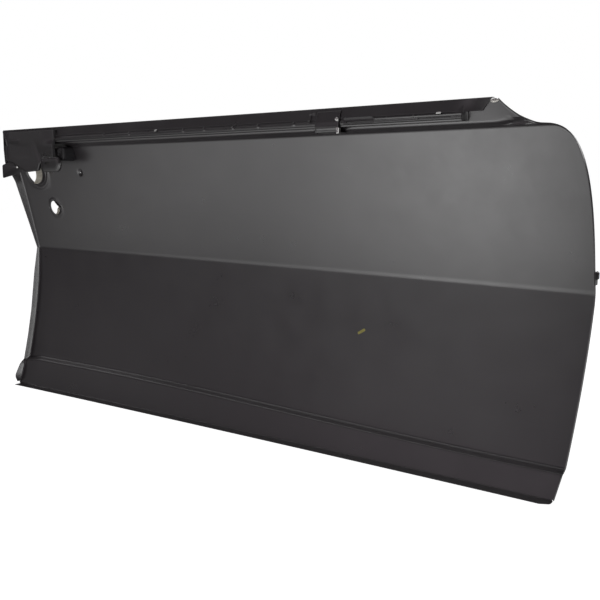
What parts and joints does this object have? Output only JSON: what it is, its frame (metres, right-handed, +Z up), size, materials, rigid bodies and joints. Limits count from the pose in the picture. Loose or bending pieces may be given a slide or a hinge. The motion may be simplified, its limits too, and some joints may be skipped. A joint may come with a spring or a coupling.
{
  "type": "car door skin",
  "caption": "Outer sheet-metal panel of a car's left door, creased along its length, with turned edges, a stiffened belt line, handle and lock holes and inner brackets.",
  "frame": {"origin": "under the middle of the panel's box, level with the underside of the flat bottom flange", "axes": "+X towards the front of the car along the belt line, +Y outboard to the painted face, +Z up"},
  "size_m": [1.4273, 0.1148, 0.6412],
  "materials": {
    "panel_coat": "satin black electro-coat primer on pressed steel",
    "bracket_coat": "satin black electro-coat on folded steel brackets",
    "zinc": "bright zinc plate",
    "rubber": "matte moulded rubber",
    "braze": "bare filler metal, brushed clean"
  },
  "bodies": {
    "root": {"door_skin": "panel_coat", "belt_plate": "bracket_coat", "belt_channel": "bracket_coat", "belt_guide_strip": "bracket_coat", "handle_reinforcement": "bracket_coat", "rod_guide_cup": "bracket_coat", "latch_side_arm": "bracket_coat", "arm_rivet": "zinc", "window_stop_buffer": "rubber", "glass_guide_bracket": "bracket_coat", "glass_guide_bolt": "zinc", "glass_guide_clip": "zinc", "belt_clip_rear": "zinc", "belt_clip_middle": "bracket_coat", "belt_clip_front": "zinc", "front_locating_tab": "bracket_coat", "corner_weld_bead": "braze"}
  },
  "joints": []
}
